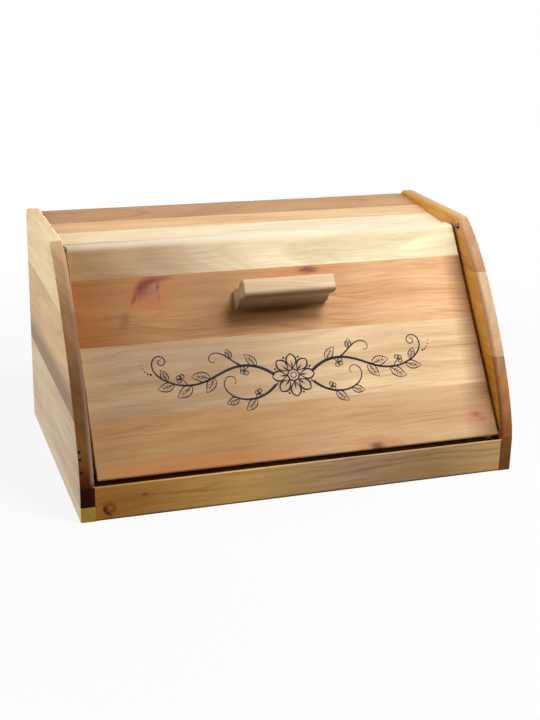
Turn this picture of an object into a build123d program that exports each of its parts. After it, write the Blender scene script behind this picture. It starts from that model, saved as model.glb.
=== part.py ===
"""Wooden bread box with a leaning drop-down lid between two curved side panels.

Millimetres, +Z up, front towards -Y. The origin is on the table, under the middle of the box.
"""
import os
from math import cos, radians, sin

from build123d import *

# Overall size
width = 390.0
depth = 248.0
height = 206.0

# Board thicknesses
side_thickness = 12.0
top_thickness = 12.0
back_thickness = 12.0
floor_thickness = 10.0
rail_thickness = 12.0
lid_thickness = 12.0

# Front rail and floor: behind a narrow land the rail's top slopes down to the floor board
rail_height = 30.0
rail_land = 1.5
rail_arris = 0.8
floor_lift = 15.0

# Lid: it leans back from its lower edge, and its top end is cut level
lid_lean = 54.0
lid_over_rail = 4.0
lid_below_sides = 7.8
lid_side_gap = 3.0
lid_rest_gap = 0.3
lid_arris = 1.2
lid_top_round = 4.0
lid_nose_round = 1.5

# Side panels: a level top, a brow that slopes down, and a belly that ends in an upright toe
brow_lead = 1.9
brow_angle = 30.0
brow_reach = 58.0
toe_height = 26.0
toe_reach = 41.0
brow_corner = 8.0
back_corner = 10.0
inner_arris = 3.0
outer_arris = 2.0

# Top board and back panel
top_slope = 4.6
top_back_drop = 3.2
back_recess = 4.0
top_back_round = 3.0

# Glue lines between the staves, as shares of each panel's breadth: upwards, or backwards in the floor
side_left_seams = (0.063, 0.393, 0.762)
side_right_seams = (0.155, 0.481, 0.801)
lid_seams = (0.251, 0.557, 0.852)
back_seams = (0.25, 0.69)
floor_seams = (0.333, 0.667)
# Forwards from the back edge
top_seams = (0.375, 0.62)

# Housings: the floor and the back panel sit in grooves in the side panels
housing_depth = 5.0

# Dowels that join the rail and the top board to the side panels
dowel_radius = 3.0
dowel_in_side = 8.5
dowel_in_board = 20.5
dowel_end_space = 1.0
dowel_clearance = 0.05

# Hinge pins near the lid's lower edge
pin_radius = 2.0
pin_in_side = 8.0
pin_in_lid = 16.0
pin_end_space = 0.5
pin_running_clearance = 0.05
pin_seat_clearance = 0.02
pin_behind_face = 5.0
pin_above_edge = 9.0
spacer_radius = 3.2
spacer_bore_clearance = 0.1
spacer_to_lid = 0.3

# Handle: a moulded bar with a foot, a neck and a head
handle_length = 83.0
handle_below_corner = 57.5
handle_reach = 33.0
foot_half = 8.5
foot_depth = 7.0
neck_half = 5.6
neck_start = 14.0
neck_end = 20.5
head_half = 7.8
head_start = 24.0
handle_soft_round = 2.0
handle_nose_round = 3.5
handle_arris = 0.8

# Screws that hold the handle from inside the lid
screw_spread = 56.0
screw_shank_radius = 1.75
screw_head_radius = 3.5
screw_head_depth = 2.2
screw_length = 30.0
screw_tip = 4.0
screw_clearance = 0.05
screw_end_space = 0.5
slot_width = 1.0
slot_depth = 1.1

# Sprung catches in the side panels, just in front of the closed lid
catch_below_corner = 3.5
catch_before_lid = 5.4
barrel_radius = 2.8
barrel_length = 9.0
barrel_bore_radius = 2.3
barrel_wall = 0.6
plunger_tip_radius = 1.9
plunger_stand = 2.6
plunger_shoulder_length = 3.6
plunger_clearance = 0.08
plunger_travel = 1.8
spring_wire_radius = 0.2
spring_radius = 1.1
spring_turns = 3
spring_end_space = 0.1

# Larger than the box in every direction, for cutting tools
reach = 2 * (width + depth + height)
# How near an edge counts as lying on a face or a line
touch = 0.01

inside_half = width / 2 - side_thickness
lid_half = inside_half - lid_side_gap
front_y = -depth / 2
back_y = depth / 2 - back_recess
lid_bottom = rail_height + lid_over_rail
lid_top = height - lid_below_sides
lean = radians(lid_lean)
slope = radians(top_slope)
lid_length = (lid_top - lid_bottom) / sin(lean)


def on_lid(up, out):
    """Y and Z of a point up the lid's front face and out from it."""
    return (front_y + up * cos(lean) - out * sin(lean), lid_bottom + up * sin(lean) + out * cos(lean))


def profile(points):
    """A flat shape in the YZ plane from (y, z) points."""
    return Plane.YZ * make_face(Polyline(*points, close=True))


def along_x(shape, start, end):
    """Extrude a YZ shape from x = start to x = end."""
    return Pos(start, 0, 0) * extrude(shape, end - start, dir=(1, 0, 0))


def rod(radius, start, end, y, z):
    """A cylinder along X from x = start to x = end."""
    return Pos((start + end) / 2, y, z) * Rot(0, 90, 0) * Cylinder(radius, abs(end - start))


def edges_at(shape, y, z):
    """The edges along X that pass through one (y, z) point."""
    found = shape.edges().filter_by(Axis.X)
    return [edge for edge in found if (edge.center() - Vector(edge.center().X, y, z)).length < touch]


def staves(board, plane, breadth, seams):
    """Cut a glued panel into its staves at the seams, which are shares of its breadth along the plane's Y."""
    bounds = (-reach, *[share * breadth for share in seams], reach)
    pieces = []
    for low, high in zip(bounds, bounds[1:]):
        slab = plane * Pos(0, (low + high) / 2, 0) * Box(reach, high - low, reach)
        pieces.append(board & slab)
    return pieces


# The lid's own plane: X to the right, Y up the front face, Z out of it
lid_plane = Plane(origin=(0, front_y, lid_bottom), x_dir=(1, 0, 0), z_dir=(0, -sin(lean), cos(lean)))

# The top board's plane, from its back edge: Y runs forwards down the slope, Z out of its underside
top_plane = Plane(
    origin=(0, back_y, height - top_back_drop),
    x_dir=(1, 0, 0),
    z_dir=(0, sin(slope), -cos(slope)),
)


def side_outline():
    """The outline of a side panel in the YZ plane."""
    corner = (front_y + lid_length * cos(lean) - brow_lead, height)
    brow = radians(brow_angle)
    brow_handle = (corner[0] - brow_reach * cos(brow), corner[1] - brow_reach * sin(brow))
    toe_handle = (front_y, toe_height + toe_reach)
    belly = Bezier(corner, brow_handle, toe_handle, (front_y, toe_height))
    rest = Polyline((front_y, toe_height), (front_y, 0), (depth / 2, 0), (depth / 2, height), corner)
    face = make_face([*belly.edges(), *rest.edges()])
    vertices = face.vertices()
    brow_vertex = vertices.sort_by_distance((*corner, 0))[0]
    face = fillet(brow_vertex, brow_corner)
    back_vertex = face.vertices().sort_by_distance((depth / 2, height, 0))[0]
    return Plane.YZ * fillet(back_vertex, back_corner)


def outline_edges(panel, x):
    """Edges of a panel's face at x, apart from those that stand on the table."""
    ends = [(edge.bounding_box().min, edge.bounding_box().max, edge) for edge in panel.edges()]
    return [
        edge
        for low, high, edge in ends
        if abs(low.X - x) < touch and abs(high.X - x) < touch and high.Z > touch
    ]


def top_breadth(deep):
    """How far the top board reaches forwards from its back edge, at a depth below its surface."""
    start = top_plane.from_local_coords(Vector(0, 0, deep))
    behind_lid = lid_plane.to_local_coords(start).Z + lid_thickness + lid_rest_gap
    return -behind_lid / top_plane.y_dir.dot(lid_plane.z_dir)


def dowel_lines(board):
    """Y and Z of each dowel of one board: two in the rail, and one in each stave of the top board."""
    if board == "rail":
        return [(front_y + rail_thickness / 2, share * rail_height) for share in (0.25, 0.75)]
    middle = top_thickness / 2
    breadth = top_breadth(middle)
    bounds = (0.0, *top_seams, 1.0)
    lines = []
    for low, high in zip(bounds, bounds[1:]):
        place = top_plane.from_local_coords(Vector(0, (low + high) / 2 * breadth, middle))
        lines.append((place.Y, place.Z))
    return lines


def dowel_holes(side, board):
    """Blind holes for one board's dowels at one side of the box."""
    seat = side * inside_half
    start = seat + side * (dowel_in_side + dowel_end_space / 2)
    end = seat - side * (dowel_in_board + dowel_end_space / 2)
    radius = dowel_radius + dowel_clearance
    return [rod(radius, start, end, y, z) for y, z in dowel_lines(board)]


def dowels(board):
    """The dowels of one board at both sides."""
    pieces = []
    for side in (-1, 1):
        start = side * (inside_half + dowel_in_side)
        end = side * (inside_half - dowel_in_board)
        pieces += [rod(dowel_radius, start, end, y, z) for y, z in dowel_lines(board)]
    return pieces


def side_panel(side):
    """One side panel: rounded outline, grooves, and blind holes for dowels, hinge pin and catch."""
    inner = side * inside_half
    outer = side * width / 2
    panel = along_x(side_outline(), min(inner, outer), max(inner, outer))
    panel = fillet(outline_edges(panel, inner), inner_arris)
    panel = fillet(outline_edges(panel, outer), outer_arris)
    # The inner arris stays sharp beside the rail
    corner = Box(2 * inner_arris, 2 * inner_arris, rail_height, align=(Align.CENTER, Align.CENTER, Align.MIN))
    beside_rail = Pos(inner, front_y, 0) * corner
    panel = panel + (beside_rail & along_x(side_outline(), min(inner, outer), max(inner, outer)))
    panel = panel - back_panel() - floor_board()
    for board in ("rail", "top"):
        panel = panel - dowel_holes(side, board)
    y, z = hinge_line
    pin_hole_end = inner + side * (pin_in_side + pin_end_space)
    panel = panel - rod(pin_radius + pin_seat_clearance, inner, pin_hole_end, y, z)
    y, z = catch_line
    panel = panel - rod(barrel_radius, inner - side * inner_arris, inner + side * barrel_length, y, z)
    return panel


def top_board():
    """The sloping top board, bevelled in front to the lid's back face."""
    blank = Box(
        2 * inside_half,
        depth,
        top_thickness,
        align=(Align.CENTER, Align.MIN, Align.MIN),
    )
    board = top_plane * blank
    behind_lid = Pos(0, 0, -lid_thickness - lid_rest_gap) * Box(
        reach, reach, reach, align=(Align.CENTER, Align.CENTER, Align.MIN)
    )
    board = board - lid_plane * behind_lid
    behind_back = Box(reach, reach, reach, align=(Align.CENTER, Align.MIN, Align.CENTER))
    board = board - Pos(0, back_y, 0) * behind_back
    back_edge = board.edges().filter_by(Axis.X).sort_by(Axis.Y)[-2:].sort_by(Axis.Z)[-1]
    board = fillet(back_edge, top_back_round)
    for side in (-1, 1):
        board = board - dowel_holes(side, "top")
    return board


def back_panel():
    """The back panel, from the table up to the top board's underside, with its ends in the side panels."""
    panel = Box(
        2 * (inside_half + housing_depth),
        back_thickness,
        height,
        align=(Align.CENTER, Align.MAX, Align.MIN),
    )
    panel = Pos(0, back_y, 0) * panel
    above = Pos(0, 0, top_thickness) * Box(reach, reach, reach, align=(Align.CENTER, Align.CENTER, Align.MAX))
    return panel - top_plane * above


def floor_board():
    """The floor, between the rail and the back panel, with its ends in the side panels."""
    return Pos(0, floor_front, floor_lift) * Box(
        2 * (inside_half + housing_depth),
        floor_breadth,
        floor_thickness,
        align=(Align.CENTER, Align.MIN, Align.MIN),
    )


def front_rail():
    """The rail under the lid, flush with the front edges of the sides."""
    section = profile(
        (
            (front_y, 0),
            (front_y, rail_height),
            (front_y + rail_land, rail_height),
            (floor_front, floor_lift + floor_thickness),
            (floor_front, 0),
        )
    )
    rail = along_x(section, -inside_half, inside_half)
    rail = fillet(edges_at(rail, front_y, 0) + edges_at(rail, front_y, rail_height), rail_arris)
    for side in (-1, 1):
        rail = rail - dowel_holes(side, "rail")
    return rail


def lid_board():
    """The lid: both ends cut level, a rounded top and a rounded lower nose."""
    level = lid_thickness / sin(lean)
    front_low = on_lid(0, 0)
    front_high = on_lid(lid_length, 0)
    rear_high = (front_high[0] + level, lid_top)
    rear_low = (front_low[0] + level, lid_bottom)
    board = along_x(profile((front_low, front_high, rear_high, rear_low)), -lid_half, lid_half)
    board = fillet(edges_at(board, *front_high), lid_top_round)
    board = fillet(edges_at(board, *front_low), lid_nose_round)
    board = fillet(edges_at(board, *rear_high) + edges_at(board, *rear_low), lid_arris)
    y, z = hinge_line
    for side in (-1, 1):
        end = side * (lid_half - pin_in_lid - pin_end_space)
        board = board - rod(pin_radius + pin_running_clearance, side * width / 2, end, y, z)
        board = board - screw_place(side) * screw(screw_clearance)
    return board


def screw_place(side):
    """Where a handle screw sits: its axis along the lid's outward direction, head at the back face."""
    return lid_plane * Pos(side * screw_spread / 2, lid_length - handle_below_corner, -lid_thickness)


def screw(clearance=0.0):
    """A countersunk wood screw along +Z, or with a clearance the hole for it."""
    shank = screw_shank_radius + clearance
    head = screw_head_radius + clearance
    end = screw_length + (screw_end_space if clearance else 0)
    outline = Polyline(
        (0, 0),
        (head, 0),
        (shank, screw_head_depth),
        (shank, end - screw_tip),
        (0, end),
        close=True,
    )
    return revolve(Plane.XZ * make_face(outline), Axis.Z)


def handle_screw(side):
    """One handle screw with a slot across its head."""
    slot = Box(reach, slot_width, slot_depth, align=(Align.CENTER, Align.CENTER, Align.MIN))
    return screw_place(side) * (screw() - slot)


def handle():
    """The moulded bar handle, with its foot on the lid's front face."""
    half = [
        (0, foot_half),
        (foot_depth, foot_half),
        (neck_start, neck_half),
        (neck_end, neck_half),
        (head_start, head_half),
        (handle_reach, head_half),
    ]
    points = half + [(out, -up) for out, up in reversed(half)]
    face = make_face(Polyline(*points, close=True))
    nose = [v for v in face.vertices() if v.X > handle_reach - touch]
    face = fillet(nose, handle_nose_round)
    waist = [v for v in face.vertices() if foot_depth - touch < v.X < head_start + touch]
    face = fillet(waist, handle_soft_round)
    section_plane = Plane(
        origin=lid_plane.from_local_coords(
            Vector(-handle_length / 2, lid_length - handle_below_corner, 0)
        ),
        x_dir=lid_plane.z_dir,
        z_dir=(1, 0, 0),
    )
    bar = extrude(section_plane * face, handle_length, dir=(1, 0, 0))
    ends = bar.faces().filter_by(Axis.X).edges()
    ends = [edge for edge in ends if lid_plane.to_local_coords(edge.center()).Z > touch]
    bar = chamfer(ends, handle_arris)
    for side in (-1, 1):
        bar = bar - screw_place(side) * screw(screw_clearance)
    return bar


def hinge_pin(side):
    """A steel pin from the side panel into the lid's end."""
    y, z = hinge_line
    start = side * (inside_half + pin_in_side)
    end = side * (lid_half - pin_in_lid)
    return rod(pin_radius, start, end, y, z)


def hinge_spacer(side):
    """A washer on the pin that keeps the lid in the middle."""
    y, z = hinge_line
    start = side * inside_half
    end = side * (lid_half + spacer_to_lid)
    bore = rod(pin_radius + spacer_bore_clearance, 0, side * width / 2, y, z)
    return rod(spacer_radius, start, end, y, z) - bore


def catch_place(side):
    """Local frame of a catch: its Z points out of the side panel's inner face."""
    y, z = catch_line
    return Plane(origin=(side * inside_half, y, z), x_dir=(0, 1, 0), z_dir=(-side, 0, 0))


def catch_barrel(side):
    """The catch's brass barrel: closed behind, with a lip in front that keeps the plunger in."""
    mouth = plunger_tip_radius + plunger_clearance
    outline = Polyline(
        (0, -barrel_length),
        (barrel_radius, -barrel_length),
        (barrel_radius, 0),
        (mouth, 0),
        (mouth, -barrel_wall),
        (barrel_bore_radius, -barrel_wall),
        (barrel_bore_radius, barrel_wall - barrel_length),
        (0, barrel_wall - barrel_length),
        close=True,
    )
    return catch_place(side) * revolve(Plane.XZ * make_face(outline), Axis.Z)


def catch_plunger(side):
    """The sprung plunger: a domed tip, and a shoulder behind the barrel's lip."""
    tip = plunger_tip_radius
    shoulder = barrel_bore_radius - plunger_clearance
    seat = -barrel_wall - plunger_clearance
    pocket = spring_radius + spring_wire_radius + plunger_clearance
    rear = seat - plunger_shoulder_length
    dome = tip / 2
    path = [
        Line((0, plunger_stand), (dome, plunger_stand)),
        RadiusArc((dome, plunger_stand), (tip, plunger_stand - dome), dome),
        Polyline(
            (tip, plunger_stand - dome),
            (tip, seat),
            (shoulder, seat),
            (shoulder, rear),
            (pocket, rear),
            (pocket, seat),
            (0, seat),
            (0, plunger_stand),
        ),
    ]
    edges = [edge for part in path for edge in part.edges()]
    return catch_place(side) * revolve(Plane.XZ * make_face(edges), Axis.Z)


def catch_spring(side):
    """The coil spring, drawn pressed short so that the plunger can travel."""
    base = barrel_wall - barrel_length + spring_wire_radius
    roof = -barrel_wall - plunger_clearance - plunger_travel - spring_wire_radius - spring_end_space
    coil = Helix((roof - base) / spring_turns, roof - base, spring_radius)
    wire = Plane(origin=coil @ 0, z_dir=coil % 0) * RegularPolygon(spring_wire_radius, 4)
    return catch_place(side) * Pos(0, 0, base) * sweep(wire, path=coil)


def save(name, *pieces):
    """Write one node, as one solid or a group of separate solids."""
    solids = [solid for piece in pieces for solid in piece.solids()]
    shape = solids[0] if len(solids) == 1 else Compound(children=solids)
    shape.label = name
    export_step(shape, f"parts/{name}.step")


hinge_line = on_lid(pin_above_edge, -pin_behind_face)
catch_line = on_lid(lid_length - catch_below_corner, catch_before_lid)
floor_front = front_y + rail_thickness
floor_breadth = back_y - back_thickness - floor_front
back_height = height - top_back_drop - top_thickness / cos(slope)

if __name__ == "__main__":
    os.makedirs("parts", exist_ok=True)
    panels = {
        "side_left_stave": staves(side_panel(-1), Plane.XZ, height, side_left_seams),
        "side_right_stave": staves(side_panel(1), Plane.XZ, height, side_right_seams),
        "lid_stave": staves(lid_board(), lid_plane, lid_length, lid_seams),
        "top_stave": staves(top_board(), top_plane, top_breadth(0), top_seams),
        "back_stave": staves(back_panel(), Plane.XZ, back_height, back_seams),
        "floor_stave": staves(floor_board(), Plane((0, floor_front, 0)), floor_breadth, floor_seams),
    }
    for name, pieces in panels.items():
        for number, piece in enumerate(pieces, 1):
            save(f"{name}_{number}", piece)
    save("front_rail", front_rail())
    for board in ("rail", "top"):
        save(f"{board}_dowels", *dowels(board))
    save("lid_handle", handle())
    save("handle_screws", handle_screw(-1), handle_screw(1))
    for name, side in (("left", -1), ("right", 1)):
        save(f"hinge_pin_{name}", hinge_pin(side))
        save(f"hinge_spacer_{name}", hinge_spacer(side))
        save(f"catch_barrel_{name}", catch_barrel(side))
        save(f"catch_plunger_{name}", catch_plunger(side))
        save(f"catch_spring_{name}", catch_spring(side))
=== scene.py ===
"""Looks of the wooden bread box: its wood, metal and lid ornament, with a camera and a plain studio."""

from math import atan2, cos, degrees, hypot, pi, radians, sin

import bmesh
import bpy
from mathutils import Matrix, Vector


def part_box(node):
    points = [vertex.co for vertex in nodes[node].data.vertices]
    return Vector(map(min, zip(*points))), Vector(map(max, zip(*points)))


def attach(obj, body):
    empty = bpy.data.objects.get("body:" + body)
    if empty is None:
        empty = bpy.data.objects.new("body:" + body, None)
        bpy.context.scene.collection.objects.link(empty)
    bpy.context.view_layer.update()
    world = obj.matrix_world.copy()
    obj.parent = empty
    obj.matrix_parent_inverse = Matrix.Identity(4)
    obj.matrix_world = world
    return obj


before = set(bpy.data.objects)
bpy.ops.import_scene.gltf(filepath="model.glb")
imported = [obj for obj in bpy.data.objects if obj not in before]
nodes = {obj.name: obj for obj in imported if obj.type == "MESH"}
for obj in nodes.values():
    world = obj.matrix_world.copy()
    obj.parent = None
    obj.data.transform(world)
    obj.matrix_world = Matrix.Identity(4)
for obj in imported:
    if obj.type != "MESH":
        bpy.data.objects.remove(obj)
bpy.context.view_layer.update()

# How steeply the lid's front face rises from level, and the corner at its foot
lid_lean = radians(54.0)
lid_corner = Vector((0.0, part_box("front_rail")[0].y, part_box("lid_stave_1")[0].z))


def make_camera():
    """The camera stands where the photograph was taken from, a little left of the box and above it."""
    azimuth = radians(19.02)
    elevation = radians(19.57)
    roll = radians(1.39)
    distance = 1.17028
    target = Vector((0.00595, 0.0, 0.07912))
    outwards = Vector((-sin(azimuth) * cos(elevation), -cos(azimuth) * cos(elevation), sin(elevation)))
    right = Vector((cos(azimuth), -sin(azimuth), 0.0))
    up = outwards.cross(right)
    rolled_right = right * cos(roll) + up * sin(roll)
    rolled_up = up * cos(roll) - right * sin(roll)
    data = bpy.data.cameras.new("camera")
    data.lens = 63.36
    data.sensor_width = 36.0
    data.clip_start = 0.05
    data.clip_end = 20.0
    camera = bpy.data.objects.new("camera", data)
    turn = Matrix((rolled_right, rolled_up, outwards)).transposed().to_4x4()
    camera.matrix_world = Matrix.Translation(target + outwards * distance) @ turn
    bpy.context.collection.objects.link(camera)
    bpy.context.scene.camera = camera


# Node trees


class Graph:
    """A node tree with short ways to add the nodes that the materials use."""

    def __init__(self, tree):
        self.tree = tree

    def add(self, kind, inputs=None, **settings):
        prefix = "Node" if kind in ("GroupInput", "GroupOutput") else "ShaderNode"
        node = self.tree.nodes.new(prefix + kind)
        for key, value in settings.items():
            setattr(node, key, value)
        for key, value in (inputs or {}).items():
            self.put(node.inputs[key], value)
        return node

    def put(self, socket, value):
        """Link a socket to another one, or give it a value."""
        if isinstance(value, bpy.types.NodeSocket):
            self.tree.links.new(value, socket)
        else:
            socket.default_value = value

    def math(self, operation, first, second=0.0):
        return self.add("Math", {0: first, 1: second}, operation=operation).outputs[0]

    def total(self, first, second):
        return self.math("ADD", first, second)

    def less(self, first, second):
        return self.math("SUBTRACT", first, second)

    def product(self, first, second):
        return self.math("MULTIPLY", first, second)

    def squares(self, first, second):
        """The sum of two squares."""
        return self.total(self.math("POWER", first, 2.0), self.math("POWER", second, 2.0))

    def span(self, value, low, high, to_low=0.0, to_high=1.0):
        """A smooth step of value between low and high."""
        inputs = {"Value": value, "From Min": low, "From Max": high, "To Min": to_low, "To Max": to_high}
        return self.add("MapRange", inputs, interpolation_type="SMOOTHSTEP").outputs[0]

    def mix(self, share, first, second, blend="MIX"):
        """Two colours mixed by a share. A Mix node has its colours at inputs 6 and 7 and output 2."""
        inputs = {0: share, 6: first, 7: second}
        return self.add("Mix", inputs, data_type="RGBA", blend_type=blend).outputs[2]

    def split(self, vector):
        return self.add("SeparateXYZ", {0: vector}).outputs

    def join(self, x, y, z):
        return self.add("CombineXYZ", {0: x, 1: y, 2: z}).outputs[0]

    def times(self, vector, factors):
        return self.add("VectorMath", {0: vector, 1: factors}, operation="MULTIPLY").outputs[0]

    def plus(self, vector, shift):
        return self.add("VectorMath", {0: vector, 1: shift}, operation="ADD").outputs[0]

    def noise(self, place, pitch, detail=2.0, roughness=0.5):
        """Noise with pitch features a metre in each direction."""
        scaled = self.times(place, pitch)
        inputs = {"Vector": scaled, "Scale": 1.0, "Detail": detail, "Roughness": roughness}
        return self.add("TexNoise", inputs).outputs[0]

    def rings(self, distance, pitch, detail):
        """Noise that changes with a distance alone."""
        inputs = {"W": distance, "Scale": pitch, "Detail": detail}
        return self.add("TexNoise", inputs, noise_dimensions="1D").outputs[0]

    def ramp(self, value, stops):
        """A colour ramp from (place, colour) stops."""
        node = self.add("ValToRGB", {0: value})
        elements = node.color_ramp.elements
        while len(elements) < len(stops):
            elements.new(0.5)
        for element, (place, colour) in zip(elements, stops):
            element.position = place
            element.color = colour
        return node.outputs[0]


def paint(red, green, blue):
    """A linear colour from the usual 0 to 255 screen values."""
    def linear(value):
        value = value / 255
        return value / 12.92 if value <= 0.04045 else ((value + 0.055) / 1.055) ** 2.4
    return (linear(red), linear(green), linear(blue), 1.0)


def new_material(name):
    """A new material, the graph of its node tree, and its shader."""
    material = bpy.data.materials.new(name)
    material.use_nodes = True
    graph = Graph(material.node_tree)
    shader = material.node_tree.nodes["Principled BSDF"]
    return material, graph, shader


# Wood: its figure

# How many features a metre each part of the figure has, along a board, across it and through it
wander_pitch = (5.0, 9.0, 9.0)
drift_pitch = (11.0, 14.0, 14.0)
patch_pitch = (7.0, 26.0, 26.0)
cloud_pitch = (8.0, 30.0, 30.0)
wide_streak_pitch = (12.0, 240.0, 240.0)
narrow_streak_pitch = (24.0, 560.0, 560.0)
strand_pitch = (15.0, 420.0, 420.0)
fibre_pitch = (40.0, 1900.0, 1900.0)
pore_pitch = (250.0, 1100.0, 1100.0)
ragged_pitch = (90.0, 620.0, 0.0)
# The same for the growth rings, outwards from the heart of the tree
band_pitch = 120.0
line_pitch = 420.0
# How far the rings wander and the fibres drift, in metres
ring_wander = 0.045
fibre_drift = 0.011

# What the figure does to the wood's colour: its light parts, its dark parts and its fine dark lines
light_tint = (1.08, 1.1, 1.12, 1.0)
dark_tint = (0.86, 0.8, 0.72, 1.0)
line_tint = (0.7, 0.52, 0.4, 1.0)
# How strong the fibres show on a face, and the rings and pores on an end
fibre_strength = 0.35
end_ring_strength = 0.7
pore_strength = 0.6
bump_strength = 0.2
bump_height = 0.0003

# Parts of a side panel, in metres: the rounded inner arris and the outer face lie this far from the middle
# of the box, and the back edge this far behind it
arris_from, arris_to = 0.1837, 0.1880
outside_from, outside_to = 0.188, 0.190
heel_from, heel_to = 0.09, 0.11
# Half the depth over which a spot fades in and out through a board
depth_fade = 0.001


def make_grain():
    """A node group for the figure of a board, from a place in metres along, across and through it.

    Pith says where the heart of the tree runs: how far across and how deep, and how it slopes along
    the board.
    """
    tree = bpy.data.node_groups.new("grain", "ShaderNodeTree")
    for name in ("Place", "Seed", "Pith"):
        tree.interface.new_socket(name, in_out="INPUT", socket_type="NodeSocketVector")
    for name in ("Bands", "Lines", "Streaks", "Strands", "Fibre", "Clouds"):
        tree.interface.new_socket(name, in_out="OUTPUT", socket_type="NodeSocketFloat")
    g = Graph(tree)
    place, seed, pith = g.add("GroupInput").outputs[:3]
    moved = g.plus(place, seed)
    patches = g.noise(moved, patch_pitch)

    # Growth rings, as wide bands and, in patches, fine lines
    along, across, through = g.split(place)
    aside, deep, slope = g.split(pith)
    wander = g.product(g.less(g.noise(moved, wander_pitch), 0.5), ring_wander)
    sideways = g.total(g.less(across, aside), wander)
    depth = g.total(g.total(through, deep), g.product(slope, along))
    from_pith = g.math("SQRT", g.squares(sideways, depth))
    growth = g.total(from_pith, g.split(seed)[0])
    bands = g.rings(growth, band_pitch, 2.0)
    lines = g.product(g.span(g.rings(growth, line_pitch, 1.0), 0.5, 0.72), g.span(patches, 0.46, 0.64))

    # Streaks, strands and fibres, which run along the board and drift a little
    drift = g.less(g.noise(moved, drift_pitch, 1.0), 0.5)
    fibres = g.plus(moved, g.join(0.0, g.product(drift, fibre_drift), 0.0))
    wide = g.noise(fibres, wide_streak_pitch, 3.0, 0.65)
    narrow = g.noise(fibres, narrow_streak_pitch, 2.0, 0.6)
    streaks = g.total(g.product(wide, 0.6), g.product(narrow, 0.4))
    strands = g.span(g.noise(fibres, strand_pitch, 1.0, 0.6), 0.56, 0.66)
    strands = g.product(strands, g.span(patches, 0.36, 0.56))
    fibre = g.noise(fibres, fibre_pitch, 2.0, 0.6)

    clouds = g.noise(moved, cloud_pitch)
    outputs = g.add("GroupOutput")
    for socket, value in zip(outputs.inputs, (bands, lines, streaks, strands, fibre, clouds)):
        g.put(socket, value)
    return tree


grain_tree = make_grain()


def board_place(g, kind):
    """The place in a board's own directions: along the grain, across it, and through the board."""
    point = g.add("TexCoord").outputs["Object"]
    if kind == "lid":
        turn = Matrix.Rotation(-lid_lean, 3, "X")
        inputs = {"Vector": point, "Location": -(turn @ lid_corner), "Rotation": (-lid_lean, 0, 0)}
        return g.add("Mapping", inputs).outputs[0]
    x, y, z = g.split(point)
    orders = {"level": (x, y, z), "side": (y, z, x), "upright": (x, z, y)}
    return g.join(*orders[kind])


def end_share(g, kind):
    """How much a surface shows end grain, from 0 on a face to 1 on an end."""
    x, y, z = g.split(g.add("TexCoord").outputs["Normal"])
    facing = g.math("ABSOLUTE", y if kind == "side" else x)
    return g.span(facing, 0.2, 0.6)


class Spot:
    """A knot or discoloured patch, or painted shade or highlight, at a place along and across a board, in
    millimetres.

    radius is across the board and longer times as much along it, or along the way that tilt gives in
    degrees. soft is how widely its edge fades and rough how ragged the edge is, both in radii. Grain runs
    round one that bends it. depths are the two depths through the board, in millimetres, between which
    alone it shows.
    """

    def __init__(self, along, across, radius, longer, colour, strength, tilt=0, soft=0.6, rough=0.7,
                 bends=False, depths=None):
        self.along = along / 1000
        self.across = across / 1000
        self.radius = radius / 1000
        self.longer = longer
        self.colour = paint(*colour)
        self.strength = strength
        self.tilt = radians(tilt)
        self.soft = soft
        self.rough = rough
        self.bends = bends
        self.depths = depths

    def reach(self, g, place):
        """How far along and across a place lies from the middle, in radii."""
        offset = g.plus(place, (-self.along, -self.across, 0.0))
        if self.tilt:
            inputs = {"Vector": offset, "Angle": -self.tilt}
            offset = g.add("VectorRotate", inputs, rotation_type="Z_AXIS").outputs[0]
        scaled = g.times(offset, (1 / (self.radius * self.longer), 1 / self.radius, 1.0))
        return g.split(scaled)[:2]

    def bend(self, g, place):
        """The place with the grain parted round the knot."""
        ahead, aside = self.reach(g, place)
        push = g.math("DIVIDE", aside, g.math("MAXIMUM", g.squares(ahead, aside), 1.0))
        along, across, through = g.split(place)
        return g.join(along, g.less(across, g.product(push, self.radius)), through)

    def stain_or_painted_light(self, g, place, colour):
        """The board's colour with the spot laid over it."""
        ahead, aside = self.reach(g, place)
        ragged = g.product(g.less(g.noise(place, ragged_pitch), 0.5), self.rough)
        distance = g.total(g.math("SQRT", g.squares(ahead, aside)), ragged)
        share = g.span(distance, 1.0 - self.soft, 1.0 + self.soft, self.strength, 0.0)
        if self.depths:
            through = g.split(place)[2]
            near, far = (depth / 1000 for depth in self.depths)
            share = g.product(share, g.span(through, near - depth_fade, near + depth_fade))
            share = g.product(share, g.span(through, far - depth_fade, far + depth_fade, 1.0, 0.0))
        return g.mix(share, colour, self.colour)


def tone_ramp(g, place, tones):
    """A colour that follows (millimetres, colour) stops along one direction of a board."""
    if len(tones) == 1:
        return paint(*tones[0][1])
    low, high = tones[0][0] / 1000, tones[-1][0] / 1000
    share = g.math("DIVIDE", g.less(place, low), high - low)
    return g.ramp(share, [((mm / 1000 - low) / (high - low), paint(*tone)) for mm, tone in tones])


def even(start, end, colour):
    """The two stops between which a board keeps one colour."""
    return [(start, colour), (end, colour)]


def weave(g, strength, colour, share):
    """The colour a little lighter where share is 0 and darker and warmer where it is 1."""
    return g.mix(strength, colour, g.mix(share, light_tint, dark_tint), "MULTIPLY")


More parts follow.
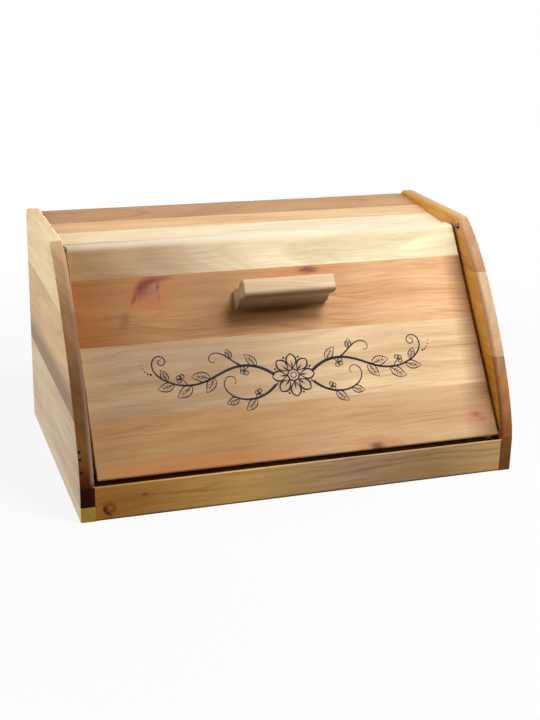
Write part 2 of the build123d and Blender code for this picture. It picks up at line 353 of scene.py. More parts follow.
class Board:
    """The figure and colours of one board.

    tones: stops along the board, of which a single one colours it all. cloud: a tint in soft patches.
    end: stops across it for its end grain. marks: spots on its end grain, placed through and across it.
    arris: stops across it for a side panel's rounded inner arris. heel: the colour of a side panel's back
    edge. outside: stops along a side panel's outer face, where that has other ones.
    pith: where the heart of the tree runs, in millimetres across and deep, and its slope along the board.
    bands, lines, streaks, strands, clouds: how strong each part of the figure is.
    """

    def __init__(self, kind, tones, cloud, seed, end, marks=(), arris=None, heel=None, outside=None,
                 pith=(0, 45, 0.1), spots=(), bands=0.5, lines=0.5, streaks=0.4, strands=0.35, clouds=0.5):
        self.kind = kind
        self.tones = tones
        self.cloud = cloud
        self.seed = (seed * 1.37, seed * 0.61, seed * 0.43)
        self.end = end
        self.marks = marks
        self.arris = arris
        self.heel = heel
        self.outside = outside
        self.pith = (pith[0] / 1000, pith[1] / 1000, pith[2])
        self.spots = spots
        self.bands = bands
        self.lines = lines
        self.streaks = streaks
        self.strands = strands
        self.clouds = clouds

    def figure(self, g, place):
        """The parts of the figure at a place, with the grain parted round the knots."""
        for spot in self.spots:
            if spot.bends:
                place = spot.bend(g, place)
        inputs = {"Place": place, "Seed": self.seed, "Pith": self.pith}
        return g.add("Group", inputs, node_tree=grain_tree).outputs

    def face(self, g, place, figure):
        """The colour of the board's faces."""
        along, across, through = g.split(place)
        colour = tone_ramp(g, along, self.tones)
        patchy = g.span(figure["Clouds"], 0.4, 0.66, 0.0, self.clouds)
        colour = g.mix(patchy, colour, paint(*self.cloud))
        if self.outside:
            outer = g.span(g.math("ABSOLUTE", through), outside_from, outside_to)
            colour = g.mix(outer, colour, tone_ramp(g, along, self.outside))
        colour = weave(g, self.bands, colour, g.span(figure["Bands"], 0.38, 0.62))
        colour = weave(g, self.streaks, colour, g.span(figure["Streaks"], 0.4, 0.6))
        colour = weave(g, fibre_strength, colour, g.span(figure["Fibre"], 0.3, 0.7))
        for part, strength in (("Lines", self.lines), ("Strands", self.strands)):
            colour = g.mix(g.product(figure[part], strength), colour, line_tint, "MULTIPLY")
        for spot in self.spots:
            colour = spot.stain_or_painted_light(g, place, colour)
        return colour

    def with_ends(self, g, place, figure, colour):
        """The colour with the end grain, and a side panel's arris and back edge, laid over it."""
        along, across, through = g.split(place)
        pores = g.span(g.noise(place, pore_pitch, 2.0, 0.6), 0.35, 0.65)
        cut = weave(g, end_ring_strength, tone_ramp(g, across, self.end), g.span(figure["Bands"], 0.4, 0.6))
        cut = weave(g, pore_strength, cut, pores)
        for mark in self.marks:
            cut = mark.stain_or_painted_light(g, g.join(through, across, along), cut)
        ends = end_share(g, self.kind)
        colour = g.mix(ends, colour, cut)
        # The arris stops are partly the wood's colour and partly painted light and shade on the rounded
        # arris
        if self.arris:
            # Only the rounded arris of the inner face shows between the face and the end
            inside = g.span(g.math("ABSOLUTE", through), arris_from, arris_to, 1.0, 0.0)
            turned = g.product(inside, g.span(ends, 0.0, 0.3))
            colour = g.mix(turned, colour, tone_ramp(g, across, self.arris))
        if self.heel:
            behind = g.product(g.span(along, heel_from, heel_to), ends)
            colour = g.mix(behind, colour, weave(g, end_ring_strength, paint(*self.heel), pores))
        return colour

    def material(self, name, roughness=0.4, specular=0.25):
        """A material with the board's colours, its gloss and the fine relief of its grain."""
        material, g, shader = new_material(name)
        place = board_place(g, self.kind)
        figure = self.figure(g, place)
        colour = self.with_ends(g, place, figure, self.face(g, place, figure))
        g.put(shader.inputs["Base Color"], colour)
        gloss = g.span(figure["Streaks"], 0.3, 0.7, roughness + 0.05, roughness - 0.03)
        g.put(shader.inputs["Roughness"], gloss)
        shader.inputs["Specular IOR Level"].default_value = specular
        height = g.total(g.product(figure["Fibre"], 0.5), g.product(figure["Streaks"], 0.5))
        bump = g.add("Bump", {"Strength": bump_strength, "Distance": bump_height, "Height": height})
        g.put(shader.inputs["Normal"], bump.outputs[0])
        return material


def dress(node, material):
    """Give a node one material."""
    obj = nodes[node]
    obj.data.materials.clear()
    obj.data.materials.append(material)


# Wood: the boards

purple = (112, 24, 4)
rust = (192, 98, 50)
end_brown = (150, 112, 76)
# Painted shade at the rail's foot, and in the slot below the lid and at its right end
painted_foot_shade = (40, 22, 10)
painted_slot_shade = (30, 14, 6)


def lid_swirl():
    """The reddish swirl in the lid's orange board: a glow with tilted strokes round it."""
    return [
        Spot(-112, 157, 13, 1.5, rust, 0.45, soft=0.9, rough=1.2),
        Spot(-115, 148, 4.5, 2.2, (182, 98, 38), 0.45, soft=0.9, rough=1.2),
        Spot(-114, 160.5, 4, 1.4, (140, 88, 74), 0.55, tilt=65, soft=0.8),
        Spot(-105, 169.5, 2.3, 4.6, (120, 48, 34), 0.75, tilt=10, soft=0.9),
        Spot(-116.5, 166.5, 3.4, 2.5, purple, 0.85, tilt=32, soft=0.9),
        Spot(-122, 160.5, 4.3, 1.9, (126, 46, 22), 0.8, tilt=60, soft=0.9),
        Spot(-120.5, 164.5, 1.6, 2.0, (84, 14, 24), 0.5, tilt=50, soft=0.9),
        Spot(-129, 153, 1.5, 3.6, (116, 48, 22), 0.75, tilt=64, soft=0.8),
        Spot(-107, 162.5, 1.3, 3.0, (100, 48, 28), 0.7, tilt=76, soft=0.9),
        Spot(-107.5, 153, 1.2, 3.2, (138, 66, 34), 0.4, tilt=84, soft=0.9),
        Spot(-139, 135, 3.6, 2.0, (132, 68, 50), 0.5, tilt=64, soft=0.9, rough=1.2),
        Spot(-111, 137, 2.0, 3.0, (172, 92, 70), 0.4, tilt=12, soft=0.9, rough=1.2),
    ]


def dress_lid():
    """Four boards with a swirl, a knot and reddish spots, and painted light: shade that adds to their
    darker tone on the left, shade along the right and lower edges and below the handle, and a highlight
    along the top.
    """
    outer_face = (-2, 2)
    knot = [
        Spot(28, 170, 8, 4.0, rust, 0.45, soft=0.9, rough=1.2),
        Spot(30, 169, 2.8, 2.8, (104, 34, 36), 0.85, soft=0.9, rough=1.6, bends=True),
    ]
    # Painted shadow of the handle on the lid's outer face, below the handle
    painted_handle_shadow = [
        Spot(-16, 128, 9, 4.6, (134, 76, 10), 0.5, soft=0.9, rough=0.3, depths=outer_face),
        Spot(-5, 135, 3.2, 12, (102, 48, 0), 0.8, soft=0.6, rough=0.2, depths=outer_face),
    ]
    low_spots_and_painted_shade = [
        Spot(64, 6, 8, 2.4, rust, 0.45, soft=0.9, rough=1.2),
        Spot(64, 3, 3.4, 1.6, (112, 42, 34), 0.8, soft=0.8, rough=1.4, bends=True),
        Spot(165, 20, 8, 1.5, (196, 122, 88), 0.45, soft=0.9, rough=1.4),
        Spot(163, 22, 2.0, 2.4, (160, 78, 56), 0.7, soft=0.9, rough=1.6),
        Spot(169, 17, 1.6, 2.2, (160, 84, 60), 0.6, soft=0.9, rough=1.6),
        Spot(-96, 5, 7, 12.0, (222, 128, 66), 0.45, soft=0.9, rough=1.2),
        # Painted shade along the lid's lower edge, above the slot
        Spot(0, -1.5, 2.6, 100, (44, 22, 10), 0.9, soft=0.3, rough=0.1),
    ]
    # Painted highlight along the lid's rounded top edge
    painted_top_highlight = Spot(0, 205, 5, 80, (252, 236, 204), 0.7, soft=0.7, rough=0.2)
    # Painted shade: the lower boards are this dark along the lid's right edge, where the proud right side
    # panel shades them
    edge = [(184, (125, 80, 35))]
    # Each board darkens to the left, partly in the wood's own tone and partly as painted shade, as if lit
    # from the right
    boards = {
        4: dict(
            tones=[(-186, (170, 115, 60)), (-110, (190, 155, 120)), (30, (255, 240, 200))],
            cloud=(184, 160, 118), seed=3.1, pith=(186, 30, -0.16), spots=[painted_top_highlight],
            bands=0.5, lines=0.15, streaks=0.35, strands=0.25, clouds=0.35,
        ),
        3: dict(
            tones=[(-186, (155, 90, 15))] + even(-110, -50, (180, 130, 80))
                  + even(100, 160, (245, 195, 145)) + edge,
            cloud=(200, 140, 76), seed=5.3, pith=(96, 60, 0.05), spots=lid_swirl() + knot + painted_handle_shadow,
            bands=0.4, lines=0.4, streaks=0.5, strands=0.45,
        ),
        2: dict(
            tones=[(-60, (190, 155, 120))] + even(60, 160, (245, 210, 165)) + edge,
            cloud=(214, 174, 128), seed=7.7, pith=(140, 28, 0.07),
            bands=0.45, lines=0.4, streaks=0.36, strands=0.3, clouds=0.35,
        ),
        1: dict(
            tones=[(-60, (190, 145, 95))] + even(60, 150, (225, 185, 140)) + edge,
            cloud=(204, 154, 104), seed=9.2, pith=(60, 40, 0.05), spots=low_spots_and_painted_shade,
            bands=0.4, lines=0.35, streaks=0.38, strands=0.3, clouds=0.45,
        ),
    }
    for number, look in boards.items():
        board = Board("lid", end=[(0, (222, 186, 146))], **look)
        dress(f"lid_stave_{number}", board.material(f"lid_wood_{number}", specular=0.16))


def dress_top():
    """Three boards, brown at the back and pale in front."""
    boards = {
        1: dict(
            tones=[(-185, (194, 142, 86)), (185, (205, 156, 102))],
            cloud=(180, 126, 76), seed=1.7, pith=(104, -152, 0.12), bands=0.5, lines=0.4,
        ),
        2: dict(
            tones=[(-185, (242, 194, 138)), (185, (243, 209, 156))],
            cloud=(236, 178, 124), seed=2.9, pith=(34, -158, 0.08), bands=0.4, lines=0.3, clouds=0.4,
        ),
        3: dict(
            tones=[(-185, (255, 233, 186)), (185, (255, 243, 211))],
            cloud=(255, 226, 176), seed=4.4, pith=(22, -150, -0.1),
            bands=0.2, lines=0.15, streaks=0.3, clouds=0.4,
        ),
    }
    for number, look in boards.items():
        board = Board("level", end=[(0, end_brown)], **look)
        dress(f"top_stave_{number}", board.material(f"top_wood_{number}"))


def dress_left_side():
    """Pale boards outside, a brown streak above one glue line, and a front edge that darkens downwards."""
    brown_streak = Spot(-20, 80, 24, 12.0, (130, 99, 70), 0.8, soft=0.45, rough=0.3)
    chips = [Spot(-193.4, z, 1.3, 1.0, (30, 12, 2), 0.95, soft=0.4, rough=0.8) for z in (43, 53, 59)]
    # The arris stops are partly the wood's colour and partly painted light where the arris catches it, and
    # painted shade low down by the slot
    boards = {
        1: dict(
            tones=[(0, (238, 222, 188))], cloud=(222, 202, 168),
            end=[(0, (218, 178, 80)), (13, (222, 182, 90))],
        ),
        2: dict(
            tones=[(-124, (198, 174, 144)), (-60, (224, 200, 162)), (124, (240, 216, 176))],
            cloud=(218, 190, 156),
            end=[(28, (48, 16, 0)), (37, (108, 52, 18)), (62, (138, 98, 48)), (80, (126, 84, 48))],
            arris=[(30, (60, 28, 12)), (35, (168, 134, 114)), (80, (152, 118, 100))],
            marks=chips,
        ),
        3: dict(
            tones=[(0, (231, 193, 142))], cloud=(216, 174, 128),
            end=[(80, (122, 84, 48)), (118, (128, 88, 54)), (126, (152, 110, 74)), (158, (158, 114, 78))],
            arris=[(80, (146, 112, 94)), (158, (152, 116, 90))],
            spots=[brown_streak],
        ),
        4: dict(
            tones=[(0, (255, 229, 178))], cloud=(252, 214, 162),
            end=[(158, (149, 114, 73)), (206, (210, 172, 128))],
            arris=[(158, (170, 134, 100)), (206, (218, 182, 140))],
        ),
    }
    dress_side("left", boards, seed=11.0, heart=150, heel=(186, 150, 112), specular=0.06)


def dress_right_side():
    """Orange inside, in browns and a pale board along its front edge and outside."""
    # Painted shade on the inner face of the two lower boards, at the right end of the slot below the lid
    painted_corner_shade = [Spot(-115, 28, 5, 1.4, painted_slot_shade, 0.9, soft=0.4, rough=0.2, depths=(180, 186))]
    # The arris stops are partly the wood's colour and partly painted shade along the rounded arris
    boards = {
        1: dict(
            tones=[(0, (228, 164, 72))], cloud=(200, 132, 52),
            end=[(0, (131, 85, 38)), (32, (140, 92, 50))],
            outside=[(-124, (190, 142, 92)), (124, (210, 164, 112))],
            spots=painted_corner_shade,
        ),
        2: dict(
            tones=[(-124, (250, 194, 78)), (-90, (238, 170, 62)), (124, (238, 170, 62))],
            cloud=(206, 134, 44),
            end=[(32, (160, 98, 50)), (78, (189, 127, 75)), (98, (172, 134, 98))],
            arris=[(32, (124, 76, 44)), (98, (140, 92, 66))],
            outside=[(-124, (212, 158, 106)), (20, (226, 178, 126)), (124, (216, 164, 110))],
            spots=painted_corner_shade,
        ),
        3: dict(
            tones=[(0, (238, 178, 90))], cloud=(214, 148, 62),
            end=[(98, (214, 172, 132)), (164, (220, 188, 150))],
            arris=[(98, (172, 134, 100)), (164, (178, 140, 104))],
            outside=[(-124, (240, 208, 162)), (124, (232, 196, 146))],
        ),
        4: dict(
            tones=[(0, (228, 172, 90))], cloud=(202, 142, 70),
            end=[(164, (187, 139, 100)), (206, (200, 162, 127))],
            arris=[(164, (170, 120, 84)), (206, (200, 146, 100))],
            outside=[(-124, (220, 172, 128)), (40, (230, 184, 138)), (124, (222, 172, 124))],
        ),
    }
    dress_side("right", boards, seed=17.0, heart=-150, heel=(186, 126, 66), specular=0.1)


def dress_side(side, boards, seed, heart, heel, specular):
    """A side panel's four boards: heart is how deep the pith lies, in millimetres."""
    for number, look in boards.items():
        # Each board's pith runs 60 mm above that of the board below
        height = 60 * number - 20
        board = Board("side", seed=seed + number * 1.3, heel=heel, pith=(height, heart, 0.1),
                      bands=0.4, lines=0.3, clouds=0.7, **look)
        name = f"side_{side}_stave_{number}"
        dress(name, board.material(f"{name}_wood", specular=specular))


def dress_inside():
    """The back and the floor, seen when the lid is open and from behind: each board's tone and tint."""
    back = {
        1: ((226, 190, 142), (208, 168, 120)),
        2: ((214, 168, 116), (194, 144, 94)),
        3: ((236, 204, 158), (218, 182, 136)),
    }
    floor = {
        1: ((214, 174, 126), (196, 152, 104)),
        2: ((228, 192, 146), (212, 172, 126)),
        3: ((208, 166, 118), (190, 146, 98)),
    }
    for number, (tone, cloud) in back.items():
        board = Board("upright", [(0, tone)], cloud, seed=21.0 + number, end=[(0, end_brown)],
                      pith=(64 * number - 18, -78, 0.08))
        dress(f"back_stave_{number}", board.material(f"back_wood_{number}", 0.5))
    for number, (tone, cloud) in floor.items():
        board = Board("level", [(0, tone)], cloud, seed=31.0 + number, end=[(0, end_brown)])
        dress(f"floor_stave_{number}", board.material(f"floor_wood_{number}", 0.5))


def dress_rail():
    """One yellowish board with a knot near its left end, and painted shade at its foot and on its slope."""
    spots = [
        Spot(-152, 17, 8, 3.4, (152, 86, 32), 0.35, soft=0.9, rough=1.6),
        Spot(-171, 9, 8, 1.5, (206, 126, 56), 0.5, soft=0.9),
        Spot(-171, 10, 4.8, 1.1, (128, 58, 22), 0.75, soft=0.5, rough=1.2, bends=True),
        Spot(-175, 9.6, 1.3, 2.6, (72, 22, 8), 0.9, tilt=98, soft=0.7),
        Spot(-172.4, 5.6, 1.2, 2.6, (78, 28, 10), 0.85, tilt=-28, soft=0.7),
        Spot(-170.5, 10.5, 2.0, 1.0, (206, 134, 84), 0.7, soft=0.6, rough=0.9),
        Spot(-142, 19, 1.0, 2.6, (96, 60, 30), 0.7),
        # Painted shade along the rail's foot, by the floor
        Spot(0, -1.2, 2.8, 200, painted_foot_shade, 0.9, soft=0.3, rough=0.1),
        # Painted shade on the rail's sloped top, in the slot below the lid
        Spot(0, 28, 3.4, 100, painted_slot_shade, 0.85, soft=0.2, rough=0.1, depths=(-121, -100)),
    ]
    rail = Board(
        "upright",
        tones=[(-186, (208, 139, 56)), (-60, (246, 196, 116)), (40, (211, 172, 136)),
               (120, (198, 160, 108)), (186, (238, 192, 134))],
        cloud=(214, 158, 90), seed=41.3, end=[(0, end_brown)], pith=(-40, 30, 0.02), spots=spots,
        bands=0.3, lines=0.35, strands=0.45, clouds=0.35,
    )
    dress("front_rail", rail.material("rail_wood", specular=0.15))


def dress_handle():
    """A pale moulded bar, with painted shade in olive brown on its lower face."""
    # Painted shade on the handle's lower face
    painted_underside_shade = Spot(0, 132, 7, 30, (106, 82, 34), 0.8, soft=0.5, rough=0.1)
    handle = Board(
        "lid", tones=[(-41, (218, 186, 146)), (41, (240, 212, 176))],
        cloud=(204, 186, 136), seed=43.9, end=[(0, (174, 150, 122))], spots=[painted_underside_shade],
        lines=0.2, streaks=0.4, strands=0.3,
    )
    dress("lid_handle", handle.material("handle_wood", specular=0.15))


def dress_dowels():
    """The plain pale dowels that join the rail and the top board to the sides."""
    dowel = Board("level", [(0, (216, 184, 138))], (206, 170, 124), seed=47.1, end=[(0, (170, 136, 96))])
    for node in ("rail_dowels", "top_dowels"):
        dress(node, dowel.material(f"{node}_wood", 0.5))


# Ornament, drawn in millimetres on the lid's face: across it and up it

# How far its film reaches into the lid's face, and how far it stands proud of it, in metres
film_depth = 0.00002
film_height = 0.00006


class Ink:
    """Flat strips that make up the ornament: each one's left edge, its right edge, and if its ends meet."""

    def __init__(self, mirror=1):
        self.mirror = mirror
        self.strips = []

    def stroke(self, points, widths, closed=False):
        """A line through points, its widths given at even steps along it."""
        left, right = [], []
        last = len(points) - 1
        for i, (x, up) in enumerate(points):
            before = points[(i - 1) % len(points)] if closed or i else points[0]
            after = points[(i + 1) % len(points)] if closed or i < last else points[last]
            length = hypot(after[0] - before[0], after[1] - before[1])
            half = spread(widths, i / last) / 2 / length
            aside = (-(after[1] - before[1]) * half, (after[0] - before[0]) * half)
            left.append((self.mirror * (x + aside[0]), up + aside[1]))
            right.append((self.mirror * (x - aside[0]), up - aside[1]))
        self.strips.append((left, right, closed))

    def ring(self, centre, radius, width):
        """A circle drawn as a line of the given width."""
        count = max(12, round(radius * 6))
        circle = [seen_from(centre, 2 * pi * k / count, radius) for k in range(count)]
        self.stroke(circle, [width], closed=True)

    def dot(self, centre, radius):
        """A filled disc, as a short strip across it."""
        steps = 8
        left, right = [], []
        for k in range(steps + 1):
            # From just inside one side of the disc to just inside the other, so that no end is a point
            turn = pi * (0.04 + 0.92 * k / steps)
            x, up = -radius * cos(turn), radius * sin(turn)
            left.append((self.mirror * (centre[0] + x), centre[1] + up))
            right.append((self.mirror * (centre[0] + x), centre[1] - up))
        self.strips.append((left, right, False))


def spread(values, share):
    """The value at a share from 0 to 1 of the way through a list."""
    if len(values) == 1:
        return values[0]
    place = min(max(share, 0.0), 1.0) * (len(values) - 1)
    low = min(int(place), len(values) - 2)
    return values[low] + (values[low + 1] - values[low]) * (place - low)


def seen_from(origin, turn, ahead, aside=0.0):
    """The point that lies ahead and to the left of another, when it faces turn, in radians."""
    x = origin[0] + ahead * cos(turn) - aside * sin(turn)
    up = origin[1] + ahead * sin(turn) + aside * cos(turn)
    return (x, up)


def walk(start, heading, length, bends, step=0.8):
    """A path that sets out at a heading in degrees and turns by bends, in degrees a millimetre."""
    (x, up), count = start, round(length / step)
    points = [(x, up)]
    for k in range(count):
        heading += spread(bends, (k + 0.5) / count) * step
        x += step * cos(radians(heading))
        up += step * sin(radians(heading))
        points.append((x, up))
    return points


def point_on(path, share):
    """The point and heading at a share of a path."""
    k = min(int(share * (len(path) - 1)), len(path) - 2)
    (x0, up0), (x1, up1) = path[k], path[k + 1]
    return (x0, up0), degrees(atan2(up1 - up0, x1 - x0))


def leaf(ink, base, heading, length, breadth, bend):
    """An outlined leaf with a midrib and side veins."""
    def fullness(share):
        """How broad the leaf is, from 0 to 1: it swells early and tapers to its tip."""
        return sin(pi * share ** 0.8)

    rib = walk(base, heading, length, [bend])
    last = len(rib) - 1
    for side in (1, -1):
        edge = []
        for k, point in enumerate(rib):
            share = k / last
            half = side * breadth / 2 * fullness(share) ** 0.9 if 0 < share < 1 else 0.0
            edge.append(seen_from(point, radians(heading + bend * length * share), 0.0, half))
        ink.stroke(edge, [0.5, 1.0, 0.9, 0.4])
        for share in (0.24, 0.42, 0.6):
            point, toward = point_on(rib, share)
            reach = breadth * 0.36 * fullness(share)
            ink.stroke(walk(point, toward + side * 42, reach / 0.7, [-side * 2.0], 0.5), [0.55, 0.3])
    ink.stroke(rib[: int(last * 0.86)], [0.9, 0.4])


def berries(ink, path, count, radius):
    """A stalk that ends in a small bunch of berries."""
    ink.stroke(path, [0.9, 0.6])
    end, heading = point_on(path, 1.0)
    for k in range(count):
        turn = radians(heading + (k - (count - 1) / 2) * 74)
        centre = seen_from(end, turn, radius * 1.25)
        ink.ring(centre, radius, 0.75)
        ink.dot((centre[0] - 0.25 * radius, centre[1] + 0.25 * radius), 0.24 * radius)


def petal(ink, foot, heading, radius):
    """A pointed petal of a flower with the given radius, with three ribs."""
    reach = radius * 0.7
    steps = 18
    for side in (1, -1):
        edge = []
        for j in range(steps + 1):
            share = j / steps
            half = side * radius * 0.235 * sin(pi * share ** 1.25) ** 0.75 if 0 < j < steps else 0.0
            edge.append(seen_from(foot, radians(heading), reach * share, half))
        ink.stroke(edge, [0.7, 1.2, 1.7, 1.0])
    ink.stroke(walk(foot, heading, reach * 0.55, [0.0]), [1.2, 0.4])
    ink.stroke(walk(foot, heading + 9, reach * 0.36, [1.0]), [0.7, 0.3])
    ink.stroke(walk(foot, heading - 9, reach * 0.36, [-1.0]), [0.7, 0.3])


def flower(ink, centre, radius, petals=8):
    """An open flower with a dot between each two petals and a dotted eye."""
    for k in range(petals):
        heading = 360 * k / petals
        petal(ink, seen_from(centre, radians(heading), radius * 0.3), heading, radius)
        ink.dot(seen_from(centre, radians(heading + 180 / petals), radius * 0.9), 1.0)
    ink.ring(centre, radius * 0.27, 1.3)
    ink.ring(centre, radius * 0.13, 0.8)
    for k in range(petals):
        ink.dot(seen_from(centre, 2 * pi * (k + 0.5) / petals, radius * 0.2), 0.42)


def vine(ink, middle):
    """One half of the ornament: stems that leave the flower and curl, with leaves, berries and dots."""
    # Degrees between a stem and what grows from it
    leaf_turn = 48
    stalk_turn = 60
    stem = walk((17, middle + 2), 38, 152, [-0.6, -1.6, -1.5, -0.4, 1.2, 1.5, 1.3, 5.0, 12.0, 26.0])
    ink.stroke(stem, [2.8, 2.2, 1.8, 1.3, 0.7])
    low = walk((17, middle - 7), -44, 76, [1.0, 1.8, 1.8, 3.0, 8.0, 17.0])
    ink.stroke(low, [2.4, 1.8, 1.1, 0.6])
    high = walk(point_on(stem, 0.2)[0], 28, 42, [2.0, 0.4, -3.2, -10.0, -24.0])
    ink.stroke(high, [1.6, 1.1, 0.6])
    # Where each leaf grows: its stem, the share along it, the side, the leaf's length and its breadth
    leaves = (
        (stem, 0.12, 1, 14, 7), (stem, 0.38, -1, 15, 7.5), (stem, 0.4, 1, 17, 8.5),
        (stem, 0.52, -1, 17, 8.5), (stem, 0.62, -1, 15, 7.5), (stem, 0.66, 1, 11, 6),
        (low, 0.3, -1, 14, 7), (low, 0.5, -1, 12, 6.5), (high, 0.3, 1, 9, 5.5),
    )
    for path, share, side, length, breadth in leaves:
        base, heading = point_on(path, share)
        leaf(ink, base, heading + side * leaf_turn, length, breadth, -side * 1.7)
    # The same for the bunches of berries: the stalk's length and the berries' radius
    bunches = ((stem, 0.16, -1, 6, 2.0), (stem, 0.54, 1, 9, 1.9), (low, 0.2, 1, 5, 1.8))
    for path, share, side, length, radius in bunches:
        base, heading = point_on(path, share)
        berries(ink, walk(base, heading + side * stalk_turn, length, [-side * 3.0]), 3, radius)
    # A row of dots that grow smaller as they leave the stem's curl
    end, heading = point_on(stem, 0.74)
    for k in range(5):
        ink.dot(seen_from(end, radians(heading - 70 + 12 * k), 4 + 2.4 * k), 1.0 - 0.14 * k)


def draw_ornament():
    """The strips of the whole ornament: a vine to each side of a flower."""
    middle = 74
    strips = []
    for mirror in (1, -1):
        ink = Ink(mirror)
        vine(ink, middle)
        strips += ink.strips
    ink = Ink()
    flower(ink, (0, middle), 19)
    return strips + ink.strips


def film_of(strips, name):
    """A thin closed film for the strips, from just inside the lid's face to a little proud of it."""
    outward = Vector((0.0, -sin(lid_lean), cos(lid_lean)))
    upward = Vector((0.0, cos(lid_lean), sin(lid_lean)))
    face = max((v.co - lid_corner).dot(outward) for v in nodes["lid_stave_2"].data.vertices)
    sunk, proud = face - film_depth, face + film_height
    points, faces = [], []
    for left, right, closed in strips:
        first, count = len(points), len(left)
        for start, end in zip(left, right):
            for (x, up), out in ((start, proud), (end, proud), (end, sunk), (start, sunk)):
                points.append(lid_corner + Vector((x / 1000, 0, 0)) + upward * (up / 1000) + outward * out)
        for k in range(count if closed else count - 1):
            here, there = first + 4 * k, first + 4 * ((k + 1) % count)
            for corner in range(4):
                after = (corner + 1) % 4
                faces.append((here + corner, here + after, there + after, there + corner))
        if not closed:
            faces.append(tuple(first + corner for corner in range(4)))
            faces.append(tuple(first + 4 * (count - 1) + corner for corner in range(4)))
    mesh = bpy.data.meshes.new(name)
    mesh.from_pydata(points, [], faces)
    shape = bmesh.new()
    shape.from_mesh(mesh)
    bmesh.ops.recalc_face_normals(shape, faces=shape.faces)
    shape.to_mesh(mesh)
    shape.free()
    return mesh


def ink_material():
    """Dark blue ink, a little worn."""
    material, g, shader = new_material("ink")
    wear_pitch = (700.0, 2200.0, 2200.0)
    worn = g.noise(g.add("TexCoord").outputs["Object"], wear_pitch, 3.0)
    colour = g.mix(g.span(worn, 0.42, 0.72), paint(18, 18, 34), paint(56, 46, 54))
    g.put(shader.inputs["Base Color"], colour)
    g.put(shader.inputs["Roughness"], g.span(worn, 0.3, 0.7, 0.5, 0.62))
    shader.inputs["Specular IOR Level"].default_value = 0.15
    return material


def make_ornament():
    """The inked ornament, which moves with the lid."""
    mesh = film_of(draw_ornament(), "lid_ornament")
    mesh.materials.append(ink_material())
    ornament = bpy.data.objects.new("lid_ornament", mesh)
    bpy.context.collection.objects.link(ornament)
    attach(ornament, "lid")


# Metal


def metal(name, colour, roughness):
    """A turned metal piece with faint turning marks."""
    material, g, shader = new_material(name)
    mark_pitch = (2600.0, 300.0, 300.0)
    marks = g.noise(g.add("TexCoord").outputs["Object"], mark_pitch)
    darker = [channel * 0.8 for channel in colour]
    shade = g.mix(g.span(marks, 0.3, 0.7, 0.0, 0.35), paint(*colour), paint(*darker))
    g.put(shader.inputs["Base Color"], shade)
    g.put(shader.inputs["Roughness"], g.span(marks, 0.3, 0.7, roughness - 0.05, roughness + 0.08))
    shader.inputs["Metallic"].default_value = 1.0
    return material


def dress_metal():
    """Steel screws, pins and springs, dull spacers, brass barrels and grey plungers."""
    steel = metal("steel", (186, 186, 190), 0.34)
    dull = metal("dull_steel", (44, 40, 36), 0.7)
    grey = metal("plunger_steel", (98, 90, 84), 0.45)
    brass = metal("brass", (112, 92, 60), 0.42)
    dress("handle_screws", steel)
    for side in ("left", "right"):
        dress(f"hinge_pin_{side}", steel)
        dress(f"hinge_spacer_{side}", dull)
        dress(f"catch_spring_{side}", steel)
        dress(f"catch_barrel_{side}", brass)
        dress(f"catch_plunger_{side}", grey)


# Studio


def softbox(name, towards, distance, size, level):
    """A square softbox that stands in the direction towards, as seen from the box.

    level is how bright it makes a white card at the box that faces it.
    """
    aim = Vector((0.0, -0.05, 0.12))
    direction = Vector(towards).normalized()
    data = bpy.data.lights.new(name, "AREA")
    data.size = size
    data.energy = level * (pi * distance) ** 2
    lamp = bpy.data.objects.new(name, data)
    lamp.location = aim + direction * distance
    lamp.rotation_euler = direction.to_track_quat("Z", "Y").to_euler()
    bpy.context.collection.objects.link(lamp)


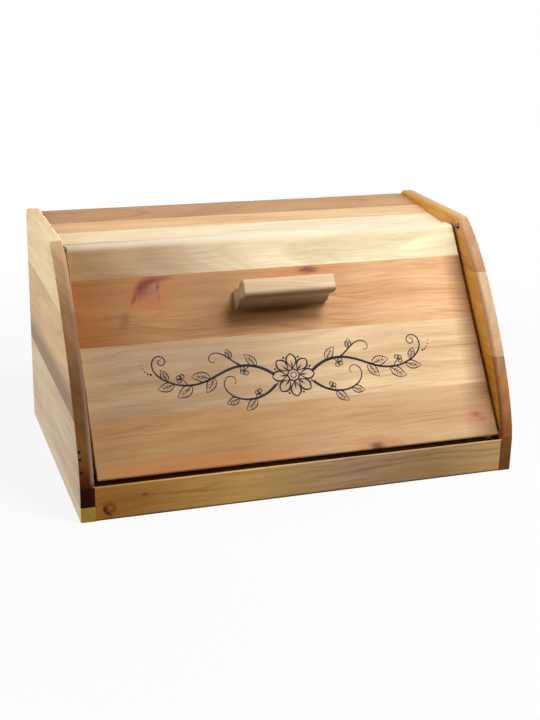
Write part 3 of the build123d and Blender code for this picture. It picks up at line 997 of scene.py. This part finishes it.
def make_lights():
    """Four softboxes, and a world that gives little light but looks white."""
    softbox("overhead", towards=(0.26, -0.38, 0.9), distance=1.1, size=0.36, level=0.66)
    softbox("right", towards=(0.72, -0.44, 0.54), distance=0.85, size=0.6, level=0.44)
    softbox("left", towards=(-0.95, 0.1, 0.3), distance=1.3, size=0.9, level=0.58)
    softbox("behind", towards=(0.3, 1.0, 0.0), distance=1.3, size=0.4, level=0.4)
    world = bpy.data.worlds.new("studio")
    bpy.context.scene.world = world
    world.use_nodes = True
    background = world.node_tree.nodes["Background"]
    background.inputs["Color"].default_value = (1, 1, 1, 1)
    background.inputs["Strength"].default_value = 0.06
    white_for_eye(Graph(world.node_tree), background, world.node_tree.nodes["World Output"].inputs[0])


def white_for_eye(g, shader, output, share=1.0):
    """Seen straight, mirrored or through glass, the surroundings are white at strength 1, by a share."""
    white = g.add("Background" if shader.type == "BACKGROUND" else "Emission", {0: (1, 1, 1, 1), 1: 1.0})
    rays = g.add("LightPath").outputs
    seen = g.math("MAXIMUM", rays["Is Glossy Ray"], rays["Is Transmission Ray"])
    seen = g.math("MAXIMUM", rays["Is Camera Ray"], seen)
    mixed = g.add("MixShader", {0: g.product(seen, share), 1: shader.outputs[0], 2: white.outputs[0]})
    g.put(output, mixed.outputs[0])


def make_floor():
    """A plain pale floor, which shows the box's shadow near it and is plain white further off."""
    half = 3.0
    near, far = 0.25, 0.75
    mesh = bpy.data.meshes.new("floor")
    corners = [(-half, -half, 0), (half, -half, 0), (half, half, 0), (-half, half, 0)]
    mesh.from_pydata(corners, [], [(0, 1, 2, 3)])
    floor = bpy.data.objects.new("floor", mesh)
    bpy.context.collection.objects.link(floor)
    material, g, shader = new_material("floor")
    # Pale to the eye, but sending less light back up under the box
    eye = g.add("LightPath").outputs["Is Camera Ray"]
    g.put(shader.inputs["Base Color"], g.mix(eye, (0.2, 0.2, 0.2, 1), (0.85, 0.85, 0.85, 1)))
    shader.inputs["Roughness"].default_value = 0.9
    shader.inputs["Specular IOR Level"].default_value = 0.1
    place = g.add("TexCoord").outputs["Object"]
    away = g.add("VectorMath", {0: place}, operation="LENGTH").outputs["Value"]
    share = g.span(away, near, far, 0.86, 1.0)
    white_for_eye(g, shader, material.node_tree.nodes["Material Output"].inputs[0], share)
    mesh.materials.append(material)


bpy.context.scene.view_settings.view_transform = "Standard"
make_camera()
make_lights()
make_floor()
dress_lid()
dress_top()
dress_left_side()
dress_right_side()
dress_inside()
dress_rail()
dress_handle()
dress_dowels()
dress_metal()
make_ornament()
